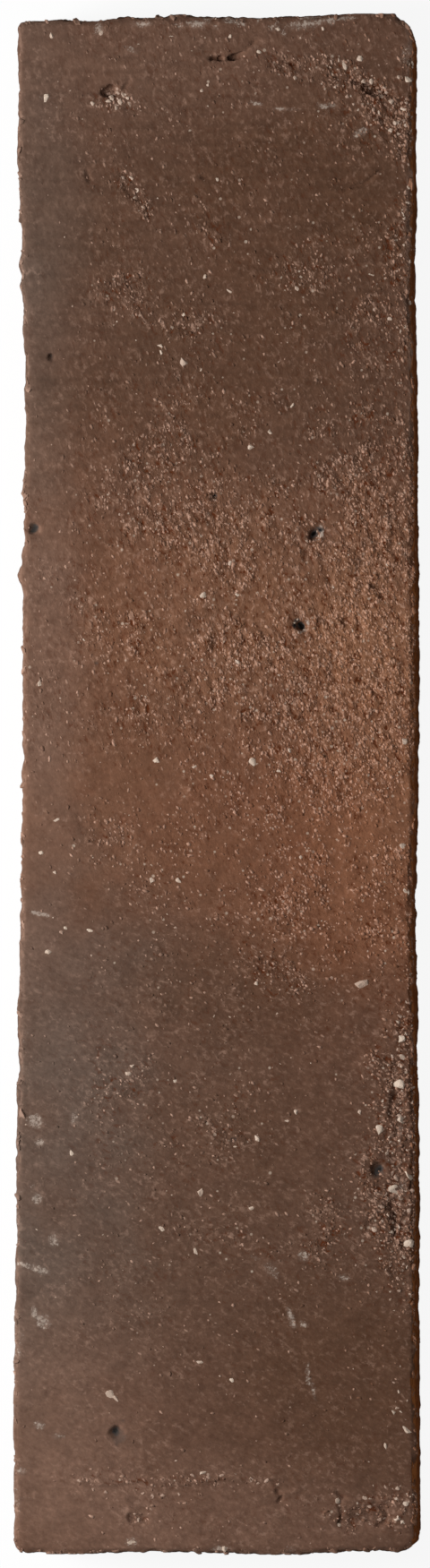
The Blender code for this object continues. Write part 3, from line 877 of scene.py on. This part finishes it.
def sanded(nodes, plain, colour, sand, grit):
    """Sand: in patches the skin is broken, darker in the gaps and paler on the tops. Both are partly the
    broken skin's own colour and partly painted light: painted shade in the gaps, painted highlight on the
    tops.
    """
    broken = nodes.step(nodes.noise(plain, 2.4, 3.0, 0.6), 0.42, 0.6)
    bare = nodes.times(grit, nodes.scaled(broken, 0.7, 0.6))
    colour = nodes.mix(1.0, colour, nodes.scaled(sand, 0.7, 0.65), "MULTIPLY")
    # Darker in the gaps: partly the skin's colour, partly painted shade
    gap = nodes.times(nodes.step(sand, 0.46, 0.36), nodes.scaled(bare, 1.5, 0.04))
    # Paler on the tops: partly rubbed grit, partly painted highlight
    top = nodes.times(nodes.step(sand, 0.56, 0.66), nodes.scaled(bare, 0.8, 0.04))
    pale = pale_grit_and_highlight(nodes, colour)
    return nodes.mix(top, nodes.mix(gap, colour, GAP), pale), pale


def gritty(nodes, plain, colour, pale, strokes, grit):
    """Soft smudges, short pale strokes of dragged grit, and pale dots."""
    smudge = along_grain(nodes, plain, lambda at: nodes.noise(at, 0.9, 4.0, 0.7), 1.3)
    blotch = nodes.step(nodes.noise(plain, 6.0, 3.0, 0.6), 0.42, 0.6)
    smudge = nodes.times(nodes.step(smudge, 0.53, 0.66), nodes.scaled(blotch, 0.18, 0.04))
    colour = nodes.mix(smudge, colour, pale)
    colour = nodes.mix(nodes.times(strokes, 0.45), colour, pale)
    dots, tone = nodes.specks(plain, 1.0, 0.34, nodes.scaled(grit, 0.6, -0.04))
    return nodes.mix(nodes.times(dots, nodes.scaled(tone, 0.5, 0.1)), colour, nodes.mix(tone, pale, QUARTZ))


def edged(nodes, plain, colour, stones, stone):
    """The arris's painted highlight, the painted warm light on the right edge, and the walls with their
    stones.
    """
    # Painted highlight on the arris
    colour = nodes.mix(nodes.times(nodes.read("arris"), 0.7), colour, ARRIS_HIGHLIGHT)
    # Painted warm light on the shaded right edge
    colour = nodes.mix(nodes.times(nodes.read("warm"), 0.85), colour, WARM_EDGE_LIGHT)
    wall = nodes.read("wall")
    wall_clay = nodes.mix(nodes.step(nodes.noise(plain, 1.4, 4.0, 0.7), 0.35, 0.7), DARK_WALL, WALL)
    colour = nodes.mix(nodes.times(wall, 0.85), colour, wall_clay)
    return nodes.mix(nodes.times(nodes.times(stones, wall), 0.6), colour, stone)


def stained(nodes, plain, colour):
    """Painted shade darkening the sunken places, then iron, then lime and the painted highlight on the iron
    spots' rims.
    """
    # Painted shade: the deeper a point is sunk, the darker
    sunk = nodes.step(nodes.read("sunk"), 0.42, 1.1)
    colour = nodes.mix(nodes.times(sunk, 0.55), colour, PIT_SHADE)
    iron = nodes.read("iron")
    colour = nodes.mix(nodes.step(iron, 0.0, 0.8), colour, IRON)
    colour = nodes.mix(nodes.step(iron, 0.62, 0.9), colour, IRON_CORE)
    lime_and_highlight = nodes.read("lime_and_highlight")
    crust = nodes.math("ADD", nodes.noise(plain, 0.55, 4.0, 0.8), nodes.times(lime_and_highlight, 0.4))
    crust = nodes.times(nodes.step(crust, 0.67, 0.8), nodes.step(lime_and_highlight, 0.05, 0.25))
    haze = nodes.times(nodes.step(lime_and_highlight, 0.1, 0.9), 0.2)
    return nodes.mix(nodes.math("MAXIMUM", nodes.times(crust, 0.85), haze), colour, LIME_AND_HIGHLIGHT)


def clay():
    """The fired clay, on every side."""
    nodes = Nodes(bpy.data.materials.new("fired_clay_weathered"))
    plain = places(nodes)
    grit = nodes.read("grit")
    sand = along_grain(nodes, plain, lambda at: nodes.noise(at, 0.75, 4.0, 0.65, 0.4), 1.5)
    share = nodes.scaled(grit, 0.5, -0.03)
    strokes = along_grain(nodes, plain, lambda at: nodes.specks(at, 0.7, 0.38, share)[0], 2.2)
    stones, stone_tone = nodes.specks(plain, 2.1, 0.42, 0.4)
    stone = nodes.mix(stone_tone, SHADE, CRUMB)
    colour, pale = sanded(nodes, plain, clay_colour(nodes, plain), sand, grit)
    colour = gritty(nodes, plain, colour, pale, strokes, grit)
    colour = edged(nodes, plain, colour, stones, stone)
    colour = stained(nodes, plain, colour)

    # The sawn back shows the paler core, its stones and the faint arcs of the blade
    sawn = nodes.read("sawn")
    blade = {"Vector": plain, "Scale": 0.09, "Distortion": 1.2, "Detail": 2.0}
    arcs = nodes.add("TexWave", blade).outputs["Fac"]
    cut = nodes.mix(stones, nodes.mix(nodes.times(arcs, 0.25), CORE, FLASH), stone)
    colour = nodes.mix(sawn, colour, cut)

    # Fine relief in mm
    height = nodes.times(sand, nodes.scaled(grit, 0.5, 0.05))
    height = nodes.math("ADD", height, nodes.times(strokes, 0.05))
    height = nodes.math("ADD", height, nodes.times(nodes.times(arcs, sawn), 0.04))
    return nodes.surface(colour, nodes.scaled(sand, -0.2, 0.98), 0.0, Normal=nodes.bump(height, 1.0, MM))


def crumb_clay():
    """Crumbs of the same clay, from dark to rubbed pale."""
    nodes = Nodes(bpy.data.materials.new("clay_crumb"))
    colour = clay_colour(nodes, places(nodes))
    colour = nodes.mix(nodes.read("tone"), colour, pale_grit_and_highlight(nodes, colour))
    # Crumbs near the right edge take some of its painted warm light
    colour = nodes.mix(nodes.times(nodes.read("warm"), 0.22), colour, WARM_EDGE_LIGHT)
    return nodes.surface(colour, 0.9, 0.0)


def quartz():
    """Pale quartz and chips of limestone."""
    nodes = Nodes(bpy.data.materials.new("quartz_grain"))
    plain = places(nodes)
    colour = nodes.mix(nodes.read("tone"), DULL_STONE, QUARTZ)
    colour = nodes.mix(nodes.times(nodes.noise(plain, 0.5, 3.0), 0.35), colour, CRUMB)
    return nodes.surface(colour, 0.6, 0.3, Normal=nodes.bump(nodes.noise(plain, 0.2, 2.0), 0.6, 0.1 * MM))


def ball(subdivisions):
    """A plain ball's points and faces."""
    made = bmesh.new()
    bmesh.ops.create_icosphere(made, subdivisions=subdivisions, radius=1.0)
    points = np.array([vertex.co for vertex in made.verts])
    faces = np.array([[vertex.index for vertex in face.verts] for face in made.faces])
    made.free()
    return points, faces


def somewhere(piece, likely, count, anywhere, seed):
    """Random places on the skin, most where the chart is high, with the direction out of it."""
    faces = piece.data.polygons
    middles, normals = read_rows(faces, "center") / MM, read_rows(faces, "normal")
    chance = read_rows(faces, "area", 1)[:, 0] * np.maximum(0, anywhere + sample(likely, middles))
    chance *= 0.03 + 0.97 * ramp(normals[:, 2], 0.1, 0.7)
    dice = np.random.default_rng((SEED, seed))
    chosen = dice.choice(len(chance), count, replace=False, p=chance / chance.sum())
    return middles[chosen], normals[chosen]


def knocked(points, dice, count, knocks):
    """Many balls, each with its own soft lumps."""
    waves = np.einsum("vi,nij->nvj", points, dice.normal(0, 2.2, (count, 3, 3)))
    waves = np.sin(waves + dice.uniform(0, 2 * math.pi, (count, 1, 3))).sum(axis=2)
    return points[None] * (1 + knocks * waves)[:, :, None]


def broken_flat(shapes, dice, cuts):
    """The same balls with flat facets struck off them."""
    for _ in range(cuts):
        facing_out = dice.normal(0, 1, (len(shapes), 3))
        facing_out /= np.linalg.norm(facing_out, axis=1)[:, None]
        over = np.einsum("nvi,ni->nv", shapes, facing_out) - dice.uniform(0.35, 0.8, (len(shapes), 1))
        shapes = shapes - np.maximum(over, 0)[:, :, None] * facing_out[:, None, :]
    return shapes


def drawn_out(slack, centres, normals, dice):
    """The way each lump is drawn out: roughly along the clay's grain, in the surface."""
    angles = STEEP_GRAIN + (SLACK_GRAIN - STEEP_GRAIN) * sample(slack, centres)
    angles = np.radians(angles + dice.normal(0, GRAIN_SPREAD, len(centres)))
    along = np.stack((np.cos(angles), np.sin(angles), np.zeros(len(centres))), axis=1)
    along -= normals * (along * normals).sum(axis=1)[:, None]
    return along / np.linalg.norm(along, axis=1)[:, None]


def bits(name, charts, centres, normals, sizes, tones, material, seed):
    """Many small lumps as one piece, half sunk in the skin."""
    subdivisions, stretch, flatness, knocks, cuts = BIT_SHAPES[name]
    points, faces = ball(subdivisions)
    dice = np.random.default_rng((SEED, seed))
    count = len(centres)
    lumps = broken_flat(knocked(points, dice, count, knocks), dice, cuts)
    long_axes = drawn_out(charts["slack"], centres, normals, dice)
    stretches = (dice.uniform(1, stretch, count), np.ones(count), np.full(count, flatness))
    scales = sizes[:, None] * np.stack(stretches, axis=1)
    axes = np.stack((long_axes, np.cross(normals, long_axes), normals), axis=1) * scales[:, :, None]
    shapes = np.einsum("nvi,nij->nvj", lumps, axes)
    shapes += (centres - normals * (sizes * flatness * HALF_SUNK)[:, None])[:, None, :]
    all_faces = (faces[None] + (np.arange(count) * len(points))[:, None, None]).reshape(-1, 3)
    mesh = bpy.data.meshes.new(name)
    mesh.from_pydata((shapes.reshape(-1, 3) * MM).tolist(), [], all_faces.tolist())
    keep_in_box(mesh)
    # The painted warm light of the right edge, and a little of it on the right half
    warm = np.maximum(painted_edge_light(centres, facing(normals)[2]), 0.25 * ramp(centres[:, 0], 12, 12))
    stains = {chart: sample(charts[chart], centres) for chart in COLOUR_CHARTS}
    for attribute, values in {"tone": tones, "warm": warm, **stains}.items():
        store(mesh, attribute, np.repeat(values, len(points)))
    if not cuts:
        mesh.shade_smooth()
    mesh.materials.append(material)
    made = add_to_scene(name, mesh)
    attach(made, "root")


def draw(dice, spread, count):
    """Random numbers spread between two limits."""
    least, added, low_lean, high_lean = spread
    return least + added * dice.beta(low_lean, high_lean, count)


def quartz_grains(piece, charts):
    """The grains known by place, small ones anywhere, and those that the torn skin lays bare."""
    tree = surface_tree(piece)
    known = []
    for x, y, size, tone in GRAINS:
        hit, normal = tree.ray_cast(Vector((x, y, ABOVE)) * MM, Vector((0, 0, -1)))[:2]
        if hit:
            known.append((np.array(hit) / MM, np.array(normal), 1.08 * size**0.85, tone))
    small = somewhere(piece, charts["grit"], SMALL_GRAINS, 0.2, 31)
    strip = somewhere(piece, charts["stony"], STRIP_GRAINS, 0.0, 34)
    dice = np.random.default_rng((SEED, 32))
    small_sizes = 0.12 + dice.exponential(0.06, SMALL_GRAINS)
    strip_sizes = draw(dice, STRIP_GRAIN_SIZES, STRIP_GRAINS)
    small_tones = draw(dice, SMALL_GRAIN_TONES, SMALL_GRAINS)
    strip_tones = draw(dice, STRIP_GRAIN_TONES, STRIP_GRAINS)
    groups = (zip(*known), (*small, small_sizes, small_tones), (*strip, strip_sizes, strip_tones))
    centres, normals, sizes, tones = (np.concatenate(parts) for parts in zip(*groups))
    bits("quartz_grains", charts, centres, normals, sizes, tones, quartz(), 33)


def crumbs(name, piece, charts, material):
    """Crumbs of clay standing in the sandy parts of the skin."""
    count, keeping, size_spread, tone_spread, seed = CRUMBS[name]
    dice = np.random.default_rng((SEED, seed))
    centres, normals = somewhere(piece, charts["grit"] ** keeping, count, 0.0, seed + 1)
    sizes = draw(dice, size_spread, count)
    tones = draw(dice, tone_spread, count)
    bits(name, charts, centres, normals, sizes, tones, material, seed + 2)


def edge_crumbs(piece, charts, material):
    """Crumbs that stand out of the ragged edges."""
    dice = np.random.default_rng((SEED, 61))
    centres, normals = (np.array(rows) for rows in zip(*edge_points(surface_tree(piece), EDGE_CRUMBS)))
    sizes = draw(dice, EDGE_CRUMB_SIZES, len(centres))
    tones = draw(dice, EDGE_CRUMB_TONES, len(centres))
    bits("edge_crumbs", charts, centres, normals, sizes, tones, material, 63)


def seen_by_eye(nodes):
    """1 for a ray from the camera, or one that a gloss or a clear thing sends on."""
    rays = nodes.add("LightPath", {}).outputs
    seen = nodes.math("MAXIMUM", rays["Is Camera Ray"], rays["Is Glossy Ray"])
    return nodes.math("MAXIMUM", seen, rays["Is Transmission Ray"])


def floor():
    """A pale floor that looks white and keeps the slip's shadow."""
    nodes = Nodes(bpy.data.materials.new("pale_floor"))
    plain = nodes.tree.nodes["Principled BSDF"]
    nodes.feed(plain, {"Base Color": (FLOOR_TONE, FLOOR_TONE, FLOOR_TONE, 1), "Roughness": 0.95})
    white = nodes.add("Emission", {"Color": (1, 1, 1, 1), "Strength": 1.0})
    bright = nodes.add("BsdfDiffuse", {"Color": (0.95, 0.95, 0.95, 1)})
    seen = nodes.add("MixShader", {0: FLOOR_SHADOW, 1: white.outputs[0], 2: bright.outputs[0]})
    mixed = nodes.add("MixShader", {0: seen_by_eye(nodes), 1: plain.outputs[0], 2: seen.outputs[0]})
    nodes.into("Material Output", {"Surface": mixed.outputs[0]})
    mesh = bpy.data.meshes.new("floor")
    plane = bmesh.new()
    bmesh.ops.create_grid(plane, x_segments=1, y_segments=1, size=FLOOR_HALF_SIZE * MM)
    plane.to_mesh(mesh)
    plane.free()
    mesh.materials.append(nodes.owner)
    made = add_to_scene("floor", mesh)
    made.location.z = -FLOOR_GAP * MM
    return made


def sky():
    """A weak even light from everywhere, with a white background."""
    bpy.context.scene.world = bpy.data.worlds.new("sky")
    nodes = Nodes(bpy.context.scene.world)
    strength = nodes.scaled(seen_by_eye(nodes), 1 - SKY, SKY)
    nodes.into("Background", {"Color": (1, 1, 1, 1), "Strength": strength})


def window():
    """The main light."""
    data = bpy.data.lights.new("window", "AREA")
    data.shape = "RECTANGLE"
    data.size, data.size_y = WINDOW_SIZE[0] * MM, WINDOW_SIZE[1] * MM
    data.energy = WINDOW_WATTS
    lamp = add_to_scene("window", data)
    lamp.location = Vector(WINDOW_PLACE) * MM
    lamp.rotation_euler = (-lamp.location).to_track_quat("-Z", "Y").to_euler()
    lamp.visible_camera = False


def camera():
    """The camera, which leans a little to the slip's right."""
    data = bpy.data.cameras.new("camera")
    data.sensor_width = LENS_SENSOR
    data.lens = LENS_SENSOR * CAMERA_DISTANCE / VIEW_HEIGHT
    made = add_to_scene("camera", data)
    away = Vector((math.sin(CAMERA_LEAN), 0, math.cos(CAMERA_LEAN)))
    made.location = (Vector((*VIEW_CENTRE, THICKNESS)) + away * CAMERA_DISTANCE) * MM
    made.rotation_euler = (0, CAMERA_LEAN, 0)
    bpy.context.scene.camera = made


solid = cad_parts["brick_slip"]
face_charts = charts_of_the_face()
slip = fine_copy(solid)
carve(slip, face_charts)
thin_out(slip)
mark(slip, face_charts, solid)
smooth_but_back(slip.data)
slip.data.materials.clear()
slip.data.materials.append(clay())
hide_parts("brick_slip")
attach(slip, "root")

quartz_grains(slip, face_charts)
crumb_material = crumb_clay()
for kind in CRUMBS:
    crumbs(kind, slip, face_charts, crumb_material)
edge_crumbs(slip, face_charts, crumb_material)

floor()
sky()
window()
camera()
bpy.context.scene.view_settings.view_transform = "Standard"
